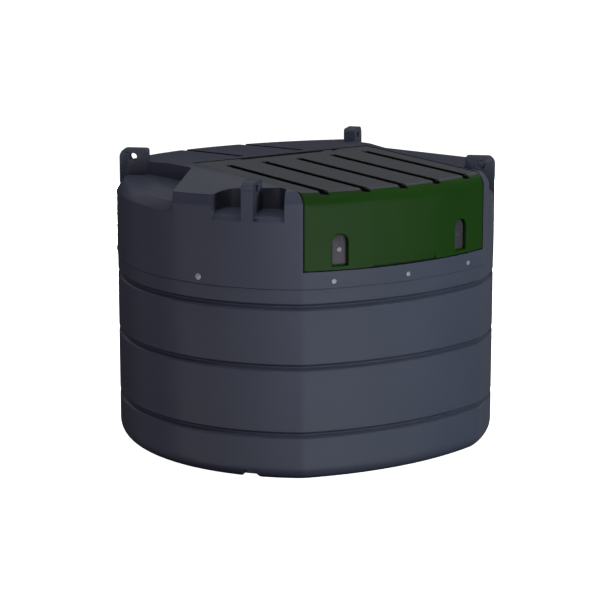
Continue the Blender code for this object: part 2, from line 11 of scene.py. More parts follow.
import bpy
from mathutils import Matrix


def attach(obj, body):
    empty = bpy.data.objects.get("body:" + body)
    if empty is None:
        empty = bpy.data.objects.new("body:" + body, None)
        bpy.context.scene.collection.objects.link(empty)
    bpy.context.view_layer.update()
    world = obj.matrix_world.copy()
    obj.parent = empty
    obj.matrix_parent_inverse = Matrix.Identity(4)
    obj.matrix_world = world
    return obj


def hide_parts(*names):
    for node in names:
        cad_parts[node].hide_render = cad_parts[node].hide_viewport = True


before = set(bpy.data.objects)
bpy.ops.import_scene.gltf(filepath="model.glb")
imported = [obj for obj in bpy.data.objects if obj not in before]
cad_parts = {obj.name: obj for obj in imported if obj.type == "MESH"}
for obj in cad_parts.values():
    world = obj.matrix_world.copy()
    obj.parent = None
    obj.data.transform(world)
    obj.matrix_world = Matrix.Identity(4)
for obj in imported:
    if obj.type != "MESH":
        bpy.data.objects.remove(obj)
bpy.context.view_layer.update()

# %% [markdown]
# ## Small helpers for meshes
#
# Most pieces start as rings of points that are skinned one to the next, which is called a loft.
# `settle` turns an object with modifiers into a plain mesh, so that the finished piece sits at the
# origin with its place in its vertices. `cut` is a Boolean difference, the digital chisel.

# %% Helpers
import math

import bmesh
import bpy
from mathutils import Matrix, Vector
from mathutils.bvhtree import BVHTree


def link_mesh(name, builder):
    """Make an object from a bmesh, with its doubles merged and its faces pointing outwards."""
    bmesh.ops.remove_doubles(builder, verts=builder.verts, dist=1e-6)
    bmesh.ops.recalc_face_normals(builder, faces=builder.faces)
    mesh = bpy.data.meshes.new(name)
    builder.to_mesh(mesh)
    builder.free()
    thing = bpy.data.objects.new(name, mesh)
    bpy.context.collection.objects.link(thing)
    return thing


def settle(thing):
    """Replace an object's mesh by what its modifiers make of it."""
    evaluated = thing.evaluated_get(bpy.context.evaluated_depsgraph_get())
    mesh = bpy.data.meshes.new_from_object(evaluated)
    thing.modifiers.clear()
    thing.data = mesh
    return thing


def loft(name, rings, closed=False):
    """Skin closed rings of points; the ends are capped unless the loft closes on itself."""
    builder = bmesh.new()
    rows = [[builder.verts.new(point) for point in ring] for ring in rings]
    size = len(rows[0])
    pairs = list(zip(rows, rows[1:]))
    if closed:
        pairs.append((rows[-1], rows[0]))
    for near, far in pairs:
        for index in range(size):
            following = (index + 1) % size
            builder.faces.new((near[index], near[following], far[following], far[index]))
    if not closed:
        builder.faces.new(rows[0])
        builder.faces.new(list(reversed(rows[-1])))
    return link_mesh(name, builder)


def bend(start, corner, end, steps):
    """Points of a curve from start to end that leaves and arrives along the lines through a corner."""
    start, corner, end = Vector(start), Vector(corner), Vector(end)
    shares = [step / steps for step in range(steps + 1)]
    return [start * (1 - share) ** 2 + corner * 2 * share * (1 - share) + end * share ** 2
            for share in shares]


def cut(thing, *cutters):
    """Take the cutters' shapes out of a piece, and throw the cutters away."""
    for cutter in cutters:
        modifier = thing.modifiers.new(cutter.name, 'BOOLEAN')
        modifier.operation = 'DIFFERENCE'
        modifier.solver = 'EXACT'
        modifier.object = cutter
    settle(thing)
    for cutter in cutters:
        bpy.data.objects.remove(cutter, do_unlink=True)


def smooth(thing, degrees=35):
    """Shade smoothly, but keep the edges sharper than an angle."""
    thing.data.shade_smooth()
    thing.data.set_sharp_from_angle(angle=math.radians(degrees))


def round_edges(thing, width, segments=3, degrees=35):
    """Round the sharp edges with a Bevel, and let the large faces lead the shading."""
    bevel = thing.modifiers.new("Rounded edges", 'BEVEL')
    bevel.width = width
    bevel.segments = segments
    bevel.limit_method = 'ANGLE'
    bevel.angle_limit = math.radians(degrees)
    bevel.use_clamp_overlap = True
    settle(thing)
    smooth(thing)
    thing.modifiers.new("Weighted normals", 'WEIGHTED_NORMAL').keep_sharp = True
    settle(thing)


def report(thing):
    triangles = sum(len(face.vertices) - 2 for face in thing.data.polygons)
    print(f"{thing.name}: {triangles} triangles")


# %% [markdown]
# ## The plan of the tank
#
# Seen from above the tank is a circle whose front is flattened to a wider arc. The two arcs meet in
# a soft crease on each side. Angles are measured from the front, towards +X. A smooth minimum of the
# two radii gives the crease its roundness, and the same rule is used in Python and in the node trees.

# %% The plan as a rule
TANK_RADIUS = 1.000
CREASE_ANGLE = math.radians(33.3)
FRONT_ARC_RADIUS = 1.600
CREASE_SOFTNESS = 0.007
SIDE_X = TANK_RADIUS * math.sin(CREASE_ANGLE)
ARC_CENTRE = math.sqrt(FRONT_ARC_RADIUS ** 2 - SIDE_X ** 2) - TANK_RADIUS * math.cos(CREASE_ANGLE)


def outline_radius(angle):
    """Radius of the plan at an angle from the front."""
    along = ARC_CENTRE * math.cos(angle)
    front = math.sqrt(along ** 2 + FRONT_ARC_RADIUS ** 2 - ARC_CENTRE ** 2) - along
    blend = max(CREASE_SOFTNESS - abs(front - TANK_RADIUS), 0) / CREASE_SOFTNESS
    return min(front, TANK_RADIUS) - blend ** 3 * CREASE_SOFTNESS / 6


def front_y(x):
    """Y of the flattened front at a distance x from the middle."""
    return ARC_CENTRE - math.sqrt(FRONT_ARC_RADIUS ** 2 - x ** 2)


def polar(radius, angle, z=0.0):
    return Vector((radius * math.sin(angle), -radius * math.cos(angle), z))


def spread(start, end, step):
    """Evenly spaced values from start to end, about a step apart."""
    count = max(1, round(abs(end - start) / step))
    return [start + (end - start) * index / count for index in range(count + 1)]


def angles_around(step=math.radians(2.0)):
    """Angles all the way round, closer together at the two creases."""
    near = math.radians(2.4)
    fine = step / 4
    low, high = CREASE_ANGLE - near, CREASE_ANGLE + near
    angles = spread(-low, low, step)
    angles += spread(low, high, fine)[1:]
    angles += spread(high, 2 * math.pi - high, step)[1:]
    angles += spread(2 * math.pi - high, 2 * math.pi - low, fine)[1:-1]
    return angles


print("front of the tank at y =", round(front_y(0), 4), "crease at x =", round(SIDE_X, 4))

# %% [markdown]
# ## Moulded plastic
#
# Rotationally moulded plastic has a fine pebbled grain, a soft sheen and slow drifts of tone. One
# builder makes all the plastics: a coarse noise drifts the colour, a finer one drifts the roughness,
# and a very fine one raises the grain as bump. Everything reads Object coordinates, so the pattern
# stays on the piece when it moves.
#
# The roughness never falls below 0.28. When it did, small dark specks showed on the walls.
#
# Node maths is hard to read as calls, so a small class, Field, lets it be written as a formula.

# %% Formulas made of nodes
class Field:
    """A socket that can be written in formulas: each sum or product adds a Math node."""

    def __init__(self, tree, socket):
        self.tree, self.socket = tree, socket

    def math(self, operation, *others):
        node = self.tree.nodes.new('ShaderNodeMath')
        node.operation = operation
        for socket, value in zip(node.inputs, (self, *others)):
            if isinstance(value, Field):
                self.tree.links.new(value.socket, socket)
            else:
                socket.default_value = value
        return Field(self.tree, node.outputs[0])

    def __add__(self, other):
        return self.math('ADD', other)

    def __sub__(self, other):
        return self.math('SUBTRACT', other)

    def __rsub__(self, other):
        return self * -1.0 + other

    def __mul__(self, other):
        return self.math('MULTIPLY', other)

    def __truediv__(self, other):
        return self.math('DIVIDE', other)


# %% Node helpers
def add_node(tree, kind, links=None, **settings):
    """Add a node, set its properties, and fill its inputs with values, sockets or fields."""
    node = tree.nodes.new(kind)
    for name, value in settings.items():
        setattr(node, name, value)
    for key, value in (links or {}).items():
        socket = node.inputs[key]
        if isinstance(value, Field):
            value = value.socket
        if isinstance(value, bpy.types.NodeSocket):
            tree.links.new(value, socket)
        else:
            socket.default_value = value
    return node


def split(tree, vector):
    """The three parts of a vector, as fields."""
    return [Field(tree, part) for part in add_node(tree, 'ShaderNodeSeparateXYZ', {0: vector}).outputs]


# %% Textures, bump and blank materials
def noise(tree, scale, **sizes):
    """A noise on Object coordinates; sizes are its Detail and Roughness."""
    place = add_node(tree, 'ShaderNodeTexCoord').outputs['Object']
    return add_node(tree, 'ShaderNodeTexNoise', {'Vector': place, 'Scale': scale, **sizes}).outputs['Fac']


def ramp(tree, value, low, high, start=0.0, end=1.0, **settings):
    """Maps low..high to start..end, and holds the ends beyond them."""
    sizes = {'Value': value, 'From Min': low, 'From Max': high, 'To Min': start, 'To Max': end}
    return add_node(tree, 'ShaderNodeMapRange', sizes, **settings).outputs[0]


def blend(tree, share, dark, light):
    """A colour between two."""
    node = add_node(tree, 'ShaderNodeMix', {'Factor': share}, data_type='RGBA')
    node.inputs[6].default_value = (*dark, 1.0)
    node.inputs[7].default_value = (*light, 1.0)
    return node.outputs[2]


def raise_grain(tree, shader, scale, strength, distance, **sizes):
    """A fine noise as bump."""
    bump = add_node(tree, 'ShaderNodeBump', {'Height': noise(tree, scale, **sizes), 'Strength': strength,
                                             'Distance': distance})
    tree.links.new(bump.outputs[0], shader.inputs['Normal'])


def blank_material(name):
    """A material with an empty tree that holds only its output and a Principled shader."""
    material = bpy.data.materials.new(name)
    material.use_nodes = True
    tree = material.node_tree
    tree.nodes.clear()
    output = tree.nodes.new('ShaderNodeOutputMaterial')
    shader = tree.nodes.new('ShaderNodeBsdfPrincipled')
    tree.links.new(shader.outputs[0], output.inputs['Surface'])
    return material, tree, shader


# %% Plastic builder
def moulded_plastic(name, dark, light, roughness, grain=0.04, specular=0.5, nooks=False):
    material, tree, shader = blank_material(name)
    tone = ramp(tree, noise(tree, 2.3, Detail=4.0, Roughness=0.55), 0.3, 0.7)
    colour = blend(tree, tone, dark, light)
    shader.inputs['Specular IOR Level'].default_value = specular
    # Painted shade: where the openness attribute is low, the colour is darkened and the sheen is lowered.
    if nooks:
        openness = add_node(tree, 'ShaderNodeAttribute', attribute_name="openness").outputs['Fac']
        dim = ramp(tree, openness, 0.36, 1.0, 0.40, 1.0)
        colour = add_node(tree, 'ShaderNodeVectorMath', {0: colour, 'Scale': dim},
                          operation='SCALE').outputs[0]
        tree.links.new((Field(tree, dim) * specular).socket, shader.inputs['Specular IOR Level'])
    tree.links.new(colour, shader.inputs['Base Color'])
    rub = noise(tree, 9.0, Detail=2.0)
    tree.links.new(ramp(tree, rub, 0.3, 0.7, roughness - 0.018, roughness + 0.03), shader.inputs['Roughness'])
    raise_grain(tree, shader, 420.0, grain, 0.001, Detail=2.0)
    return material


SLATE = (0.0385, 0.0420, 0.0625), (0.0420, 0.0460, 0.0680), 0.30
slate = moulded_plastic("slate plastic", *SLATE)
# The same slate, with shade painted into its nooks and into the bund's grooves, read from the openness
# attribute.
slate_painted_shade = moulded_plastic("slate plastic, shade painted in its nooks", *SLATE, nooks=True)
lid_green = moulded_plastic("green lid plastic", (0.0070, 0.0278, 0.0036), (0.0084, 0.0306, 0.0045), 0.38)
slat_grey = moulded_plastic("grey slat plastic", (0.0372, 0.0392, 0.0448), (0.0402, 0.0422, 0.0484), 0.42)
# Near-black painted shade for the slat grooves, standing in for the shadow in them.
groove_painted_shade = moulded_plastic("painted shade in the slat grooves", (0.0035, 0.0040, 0.0038),
                               (0.0045, 0.0050, 0.0048), 0.60, grain=0.10, specular=0.1)
# Real black plastic for the fittings; it is also put on the well's walls as painted shade.
black_plastic_and_well_shade = moulded_plastic("black fitting plastic, also the well's painted shade", (0.0120, 0.0122, 0.0135), (0.0150, 0.0152, 0.0165),
                                0.42)
print("plastics:", ", ".join(made.name for made in bpy.data.materials))

# %% [markdown]
# ## Metal for bolts and locks
#
# The bolts are zinc plated, pale and slightly cloudy. The lock barrels are a more metallic and a
# little smoother steel, so they look bright from one side and dull from another. The lock plates are
# dark grey and glossy, with tiny specks where keys have touched the coating.

# %% Metal builders
def zinc_plate(name, dark, light, roughness, metallic):
    material, tree, shader = blank_material(name)
    cloud = noise(tree, 260.0, Detail=3.0)
    tree.links.new(blend(tree, cloud, dark, light), shader.inputs['Base Color'])
    haze = ramp(tree, cloud, 0.0, 1.0, roughness - 0.08, roughness + 0.08)
    tree.links.new(haze, shader.inputs['Roughness'])
    shader.inputs['Metallic'].default_value = metallic
    return material


def painted_plate(name, paint, speck, roughness):
    material, tree, shader = blank_material(name)
    worn = ramp(tree, noise(tree, 90.0, Detail=6.0), 0.62, 0.72)
    tree.links.new(blend(tree, worn, paint, speck), shader.inputs['Base Color'])
    raise_grain(tree, shader, 600.0, 0.12, 0.0005)
    shader.inputs['Roughness'].default_value = roughness
    shader.inputs['Specular IOR Level'].default_value = 1.0
    return material


zinc = zinc_plate("zinc plated steel", (0.52, 0.55, 0.60), (0.68, 0.71, 0.75), 0.42, 0.75)
barrel_steel = zinc_plate("lock barrel steel", (0.50, 0.52, 0.56), (0.66, 0.68, 0.72), 0.36, 0.96)
lock_grey = painted_plate("grey lock plate", (0.033, 0.028, 0.037), (0.041, 0.036, 0.045), 0.28)
print("metals:", zinc.name, barrel_steel.name, lock_grey.name)

# %% [markdown]
# ## Geometry Nodes helpers
#
# A node tree is a rule with named inputs. These helpers build one from Python: its inputs become
# fields, and an input is set by its identifier, which stays the same when a name changes.

# %% Node tree helpers
def new_tree(name, inputs):
    """A Geometry Nodes tree with a geometry socket each way, and its named inputs as fields."""
    tree = bpy.data.node_groups.new(name, 'GeometryNodeTree')
    tree.interface.new_socket("Geometry", in_out='INPUT', socket_type='NodeSocketGeometry')
    tree.interface.new_socket("Geometry", in_out='OUTPUT', socket_type='NodeSocketGeometry')
    for label in inputs:
        kind = 'NodeSocketMaterial' if label.endswith("Material") else 'NodeSocketFloat'
        tree.interface.new_socket(label, in_out='INPUT', socket_type=kind)
    given = {socket.name: Field(tree, socket) for socket in tree.nodes.new('NodeGroupInput').outputs}
    return tree, given, tree.nodes.new('NodeGroupOutput')


def run_tree(thing, tree, values):
    """Run a tree on an object with the given inputs, and keep the result as a plain mesh."""
    modifier = thing.modifiers.new(tree.name, 'NODES')
    modifier.node_group = tree
    for item in tree.interface.items_tree:
        if item.item_type == 'SOCKET' and item.in_out == 'INPUT' and item.name in values:
            modifier[item.identifier] = values[item.name]
    return settle(thing)


def outline_field(given, angle):
    """The plan's radius at an angle: the smooth minimum of the circle and the front arc."""
    radius, crease, arc = (given[name] for name in ("Radius", "Crease Angle", "Front Arc Radius"))
    half, deep = radius * crease.math('SINE'), radius * crease.math('COSINE')
    centre = (arc * arc - half * half).math('SQRT') - deep
    along = centre * angle.math('COSINE')
    front = (along * along + (arc * arc - centre * centre)).math('SQRT') - along
    return front.math('SMOOTH_MIN', radius, given["Crease Softness"])


def place_at(tree, geometry, radius, angle, height):
    """Set Position to a radius, an angle from the front and a height."""
    point = add_node(tree, 'ShaderNodeCombineXYZ', {0: radius * angle.math('SINE'),
                                                    1: radius * angle.math('COSINE') * -1.0, 2: height})
    return add_node(tree, 'GeometryNodeSetPosition', {'Geometry': geometry,
                                                      'Position': point.outputs[0]}).outputs[0]


def dress(tree, geometry, material, where=True):
    return add_node(tree, 'GeometryNodeSetMaterial', {'Geometry': geometry, 'Selection': where,
                                                      'Material': material}).outputs[0]


def finish_tree(tree, geometry, given, target):
    """End a tree with real geometry and its material."""
    real = add_node(tree, 'GeometryNodeRealizeInstances', {'Geometry': geometry}).outputs[0]
    tree.links.new(dress(tree, real, given["Material"]), target.inputs[0])


# %% [markdown]
# ## The bund
#
# The outer wall is one moulding: a foot with a rounded lower edge, and a wall with three grooves that
# stiffen it. Its cross section is the same all the way round, so it is drawn once, as points that
# hold an inset and a height. A node tree then wraps the flat sheet of columns round the plan. The
# corners of the grooves are softened, because a moulding has no sharp corner.

# %% Cross section of the bund
SEAM_HEIGHT = 0.990
SEAM_GAP = 0.001
BUND_INSET = 0.002
BASE_ROUNDING = 0.090
GROOVE_HEIGHTS = (0.243, 0.590, 0.898)
GROOVE_MOUTH = 0.034
GROOVE_BOTTOM = 0.010
GROOVE_DEPTH = 0.021


def soften(points, reach, steps=4):
    """Round the inner corners of a polyline, starting each curve a reach away from its corner."""
    path = [Vector(points[0])]
    for before, corner, after in zip(points, points[1:], points[2:]):
        before, corner, after = Vector(before), Vector(corner), Vector(after)
        room = min(reach, (before - corner).length * 0.48, (after - corner).length * 0.48)
        start = corner + (before - corner).normalized() * room
        end = corner + (after - corner).normalized() * room
        path += bend(start, corner, end, steps)
    path.append(Vector(points[-1]))
    return path


def bund_section():
    """The closed cross section as (inset, z) points, from the middle of the underside outwards."""
    foot = [(0.500, 0.0)]
    for step in range(13):
        turn = math.pi / 2 * step / 12
        foot.append((BUND_INSET + BASE_ROUNDING * (1 - math.sin(turn)), BASE_ROUNDING * (1 - math.cos(turn))))
    wall = [(BUND_INSET, BASE_ROUNDING)]
    for height in GROOVE_HEIGHTS:
        wall.append((BUND_INSET, height - GROOVE_MOUTH / 2))
        wall.append((BUND_INSET + GROOVE_DEPTH, height - GROOVE_BOTTOM / 2))
        wall.append((BUND_INSET + GROOVE_DEPTH, height + GROOVE_BOTTOM / 2))
        wall.append((BUND_INSET, height + GROOVE_MOUTH / 2))
    top = SEAM_HEIGHT - SEAM_GAP / 2
    wall += [(BUND_INSET, top), (0.050, top), (0.050, 0.030), (0.500, 0.030)]
    return [Vector(point) for point in foot[:-1]] + soften(wall, 0.005)


section = bund_section()
print("points in the bund's cross section:", len(section))


# %% Wrap rule
def wrap_tree():
    """Wraps a sheet whose points hold an angle, an inset and a height round the tank's plan."""
    tree, given, target = new_tree("Wrap round the plan", ["Radius", "Crease Angle", "Front Arc Radius",
                                                          "Crease Softness", "Material"])
    angle, inset, height = split(tree, add_node(tree, 'GeometryNodeInputPosition').outputs[0])
    radius = outline_field(given, angle) - inset
    finish_tree(tree, place_at(tree, given["Geometry"], radius, angle, height), given, target)
    return tree


PLAN = {"Radius": TANK_RADIUS, "Crease Angle": CREASE_ANGLE, "Front Arc Radius": FRONT_ARC_RADIUS,
        "Crease Softness": CREASE_SOFTNESS}
sheet_rings = [[(angle, inset, z) for angle in angles_around()] for inset, z in section]
bund = loft("bund_shell", sheet_rings)
run_tree(bund, wrap_tree(), {**PLAN, "Material": slate_painted_shade})
report(bund)

# %% [markdown]
# Under each lug the foot has a tapered notch for a tie-down strap. It is cut with a short wedge whose
# upper corners are rounded, at about the same angle as the lug above it. The grooves get a little
# shade, stored as an attribute that the plastic reads.

# %% Strap notches
NOTCH_ANGLES = (49.5, 130.5)
GROOVE_SHADE = 0.25


def notch_cutter(angle):
    outline = soften([(-0.054, -0.02), (-0.054, 0.0), (-0.028, 0.050), (0.028, 0.050), (0.054, 0.0),
                      (0.054, -0.02)], 0.012)
    rings = [[(across, -reach, z) for across, z in outline] for reach in (0.880, 1.010)]
    cutter = loft("notch cutter", rings)
    cutter.data.transform(Matrix.Rotation(angle, 4, 'Z'))
    return cutter


cut(bund, *(notch_cutter(side * math.radians(degrees)) for side in (-1, 1) for degrees in NOTCH_ANGLES))
builder = bmesh.new()
builder.from_mesh(bund.data)
bmesh.ops.recalc_face_normals(builder, faces=builder.faces)
builder.to_mesh(bund.data)
builder.free()
openness = bund.data.attributes.new("openness", 'FLOAT', 'POINT')
for vertex, value in zip(bund.data.vertices, openness.data):
    x, y, z = vertex.co
    deep = outline_radius(math.atan2(x, -y)) - math.hypot(x, y) - BUND_INSET
    share = min(max(deep / GROOVE_DEPTH, 0), 1) if z > BASE_ROUNDING else 0
    value.value = 1 - GROOVE_SHADE * share
smooth(bund, 40)
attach(bund, "tank")
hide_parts("bund_base", "bund_wall_front", "bund_wall_left", "bund_wall_right", "bund_wall_rear_left",
            "bund_wall_rear_right")
report(bund)

# %% [markdown]
# ## The cover
#
# The cover is the upper part of the tank. Its roof is three planes: two fall outwards beside the lid
# and one falls to the rear. Their lower envelope is simply a block sliced by three planes. The lid's
# well, the recesses round the lugs and the rain grooves are then cut out of it, and one Bevel rounds
# every edge, as the mould does.

# %% Block under the roof planes
SIDE_ROOF_TOP = 1.4735
SIDE_ROOF_FALL = 0.100
ROOF_TOP = 1.472
REAR_ROOF_FALL = 0.080
REAR_EDGE_Y = 0.247
ABOVE_ALL = 1.6


def side_roof(x):
    return SIDE_ROOF_TOP - SIDE_ROOF_FALL * (abs(x) - SIDE_X)


def rear_roof(y):
    return ROOF_TOP - REAR_ROOF_FALL * (y - REAR_EDGE_Y)


def roof_block():
    builder = bmesh.new()
    rows = []
    for z in (SEAM_HEIGHT + SEAM_GAP / 2, ABOVE_ALL):
        rows.append([builder.verts.new(polar(outline_radius(angle), angle, z)) for angle in angles_around()])
    low, high = rows
    for index in range(len(low)):
        following = (index + 1) % len(low)
        builder.faces.new((low[index], low[following], high[following], high[index]))
    builder.faces.new(list(reversed(low)))
    builder.faces.new(high)
    bmesh.ops.recalc_face_normals(builder, faces=builder.faces)
    planes = [(Vector((side * SIDE_X, 0, SIDE_ROOF_TOP)), Vector((side * SIDE_ROOF_FALL, 0, 1)))
              for side in (-1, 1)]
    planes.append((Vector((0, REAR_EDGE_Y, ROOF_TOP)), Vector((0, REAR_ROOF_FALL, 1))))
    for point, normal in planes:
        everything = builder.verts[:] + builder.edges[:] + builder.faces[:]
        result = bmesh.ops.bisect_plane(builder, geom=everything, plane_co=point, plane_no=normal,
                                        clear_outer=True)
        rim = [part for part in result["geom_cut"] if isinstance(part, bmesh.types.BMEdge)]
        bmesh.ops.contextual_create(builder, geom=rim)
    return link_mesh("cover_shell", builder)


cover = roof_block()
report(cover)

# %% [markdown]
# The cutters are prisms too. The lid's well runs from the front to the hinge line, with a step behind
# the front sill. The recess round a front lug has a floor that falls outwards, and a wide curve at
# its outer corner. The recess by a rear lug is a large triangle with a level floor.

# %% Cutters for the well and the recesses
SILL_TOP = 1.075
SILL_BACK_Y = -0.720
CABINET_FLOOR_TOP = 1.030
SIDE_FLOOR = 1.378
FRONT_FLOOR_TOP = 1.360
FRONT_FLOOR_FALL = 0.085
LUG_ANGLES = (49.4, 130.6)
LUG_THICKNESS = 0.062
LUG_INNER = 0.8465
SIDE_RECESS_RIM_ANGLE = math.radians(74.4)
SIDE_RECESS_CORNER = Vector((0.612, 0.145, 0))
RECESS_FILLET = 0.012
LUG_GAP = 0.0003
FRONT_RECESS_ANGLES = (math.radians(38.6), math.radians(60.2))
FRONT_RECESS_RADIUS = 0.849


def prism(name, plan, low, high, fillet=0.0):
    """Upright cutter on a plan; its floor follows a height or a rule, and gets a fillet all round."""
    floor = low if callable(low) else (lambda x, y: low)
    builder = bmesh.new()
    bottom = [builder.verts.new((x, y, floor(x, y))) for x, y in plan]
    top = [builder.verts.new((x, y, high)) for x, y in plan]
    for index in range(len(plan)):
        following = (index + 1) % len(plan)
        builder.faces.new((bottom[index], bottom[following], top[following], top[index]))
    base = builder.faces.new(bottom)
    builder.faces.new(top)
    bmesh.ops.recalc_face_normals(builder, faces=builder.faces)
    if fillet:
        bmesh.ops.bevel(builder, geom=list(base.edges), offset=fillet, segments=4, profile=0.5,
                        affect='EDGES', clamp_overlap=True)
    return link_mesh(name, builder)


def well_cutter():
    section = [(-1.2, SILL_TOP), (SILL_BACK_Y, SILL_TOP), (SILL_BACK_Y, CABINET_FLOOR_TOP),
               (REAR_EDGE_Y, CABINET_FLOOR_TOP), (REAR_EDGE_Y, 1.7), (-1.2, 1.7)]
    return loft("well cutter", [[(x, y, z) for y, z in section] for x in (-SIDE_X, SIDE_X)])


def beside_lug(angle, reach, across):
    """Plan point beside a lug: reach along its own direction, across towards the rear."""
    outward = polar(1.0, angle)
    return outward * reach + Vector((-outward.y, outward.x, 0)) * across


def round_corners(plan, reaches):
    """Round the corners of a closed plan, each by its own reach."""
    path = []
    for index, (x, y) in enumerate(plan):
        corner = Vector((x, y))
        before = Vector(plan[index - 1])
        after = Vector(plan[(index + 1) % len(plan)])
        reach = reaches[index]
        if reach == 0:
            path.append(corner)
            continue
        start = corner + (before - corner).normalized() * reach
        end = corner + (after - corner).normalized() * reach
        path += bend(start, corner, end, 6)
    return path


def side_recess_plan():
    """Triangle from the lid's rear corner to the rim and to the rear lug."""
    angle = math.radians(LUG_ANGLES[1])
    half = LUG_THICKNESS / 2
    near = beside_lug(angle, LUG_INNER - LUG_GAP, -half)
    far = beside_lug(angle, LUG_INNER - LUG_GAP, half + LUG_GAP)
    outside = beside_lug(angle, 1.06, half + LUG_GAP)
    rim = polar(TANK_RADIUS, SIDE_RECESS_RIM_ANGLE)
    beyond = rim + (rim - SIDE_RECESS_CORNER).normalized() * 0.06
    return [SIDE_RECESS_CORNER, near, far, outside, polar(1.12, math.radians(118)),
            polar(1.14, math.radians(100)), polar(1.12, math.radians(84)), beyond]


def side_recess_cutter(side):
    plan = [(side * point.x, point.y) for point in side_recess_plan()]
    corners = round_corners(plan, [0.012, 0, 0, 0, 0, 0, 0, 0])
    return prism("side recess cutter", corners, SIDE_FLOOR, ABOVE_ALL, RECESS_FILLET)


def front_floor(x, y):
    """The front recess's floor falls from its inner wall to the rim."""
    outward = polar(1.0, math.radians(LUG_ANGLES[0]))
    reach = abs(x) * outward.x + y * outward.y
    return FRONT_FLOOR_TOP - FRONT_FLOOR_FALL * (reach - FRONT_RECESS_RADIUS)


def front_recess_cutter(side):
    low, high = FRONT_RECESS_ANGLES
    beside_well = 0.557
    plan = [polar(1.06, low), Vector((beside_well, -beside_well / math.tan(low), 0)),
            polar(FRONT_RECESS_RADIUS, math.asin(beside_well / FRONT_RECESS_RADIUS)),
            polar(FRONT_RECESS_RADIUS, (low + high) / 2), polar(FRONT_RECESS_RADIUS, high), polar(1.06, high)]
    corners = round_corners([(point.x, point.y) for point in plan], [0, 0.020, 0.012, 0, 0.085, 0])
    return prism("front recess cutter", [(side * x, y) for x, y in corners], front_floor, ABOVE_ALL,
                 RECESS_FILLET)


print("cutters ready; the front recess floor is at", round(front_floor(0.62, -0.52), 4))

# %% [markdown]
# The rims are shaped by long cutters that follow the wall. Each has a profile of insets and drops: the
# pillars beside the lid take the lid's own bend, the roof's rim is a steep band with a crisp upper
# edge, and the floors of the recesses roll over into the wall. The rain grooves run down the rear
# roof, round at the bottom and fading out at their upper ends.

# %% Cutters for the rims and the rain grooves
BEND_SIZE = 0.060
LID_BEND = bend((0, BEND_SIZE), (0.022, 0), (BEND_SIZE, 0), 12)
ROOF_RIM = bend((0, 0.057), (0.009, 0.027), (0.020, 0), 5)
SIDE_RECESS_RIM = bend((0, 0.056), (0.016, 0.024), (0.040, 0), 5)
FRONT_RECESS_RIM = bend((0, 0.030), (0.004, 0.004), (0.034, 0), 8)


def fixed(angle):
    """End of a rim that lies on one angle at every radius."""
    return lambda radius: angle


def on_line(start, direction):
    """End of a rim that follows a straight line in plan."""
    along = start.dot(direction)

    def angle_at(radius):
        point = start + direction * (math.sqrt(along ** 2 - start.dot(start) + radius ** 2) - along)
        return math.atan2(point.x, -point.y)

    return angle_at


def rim_cutter(side, ends, top_at, profile):
    """What a rim's profile takes off the wall between two ends, with the wall's own columns between."""
    past = 0.03
    section = [(-past, profile[0][1]), *profile, (profile[-1][0], -past), (-past, -past)]
    first, last = ([end_at(TANK_RADIUS - inset) for inset, drop in section] for end_at in ends)
    margin = 0.004
    turns = [angle for angle in angles_around() if max(first) + margin < angle < min(last) - margin]
    rings = []
    for row in [first, *([angle] * len(section) for angle in turns), last]:
        ring = []
        for angle, (inset, drop) in zip(row, section):
            point = polar(TANK_RADIUS - inset, side * angle)
            point.z = top_at(point.x, point.y) - drop
            ring.append(point)
        rings.append(ring)
    return loft("rim cutter", rings)


def rim_cutters(side):
    past = math.radians(3)
    low, high = FRONT_RECESS_ANGLES
    rear_lug = math.radians(LUG_ANGLES[1])
    rim_end = polar(TANK_RADIUS, SIDE_RECESS_RIM_ANGLE)
    near_wall = on_line(SIDE_RECESS_CORNER, (rim_end - SIDE_RECESS_CORNER).normalized())
    lug_side = on_line(beside_lug(rear_lug, 0, LUG_THICKNESS / 2), polar(1.0, rear_lug))
    on_side, on_floor = (lambda x, y: side_roof(x)), (lambda x, y: SIDE_FLOOR)
    rims = (((fixed(CREASE_ANGLE - past), fixed(low + past / 2)), on_side, LID_BEND),
            ((fixed(high - past / 2), fixed(SIDE_RECESS_RIM_ANGLE + past)), on_side, ROOF_RIM),
            ((near_wall, lug_side), on_floor, SIDE_RECESS_RIM),
            ((fixed(low), fixed(high)), front_floor, FRONT_RECESS_RIM))
    return [rim_cutter(side, *rim) for rim in rims]


def rear_rim_cutter():
    lug = math.radians(LUG_ANGLES[1])
    return rim_cutter(1, (fixed(lug), fixed(2 * math.pi - lug)), lambda x, y: rear_roof(y), ROOF_RIM)


RAIN_GROOVE_X = 0.190
RAIN_GROOVE_SIZE = 0.019
RAIN_GROOVE_STEPS = ((0.330, 0.05), (0.334, 0.6), (0.342, 0.9), (0.352, 1.0), (1.03, 1.0))


def rain_groove_cutter(side):
    x = side * RAIN_GROOVE_X
    rings = []
    for y, share in RAIN_GROOVE_STEPS:
        half = depth = RAIN_GROOVE_SIZE * share
        z = rear_roof(y)
        outline = [(x - half, z + 0.02), (x - half, z - depth), (x + half, z - depth), (x + half, z + 0.02)]
        rings.append([(across, y, height) for across, height in soften(outline, 0.007)])
    return loft("rain groove cutter", rings)


cut(cover, rear_rim_cutter())
for side in (-1, 1):
    cut(cover, side_recess_cutter(side), front_recess_cutter(side), rain_groove_cutter(side),
        *rim_cutters(side))
cut(cover, well_cutter())
report(cover)

# %% [markdown]
# The walls of the lid's well get the black plastic as painted shade, so that the gap round the lid reads as a
# dark line.

# %% Round the cover's edges and dress it
round_edges(cover, 0.004)
cover.data.materials.append(slate_painted_shade)
cover.data.materials.append(black_plastic_and_well_shade)
reach = 0.002
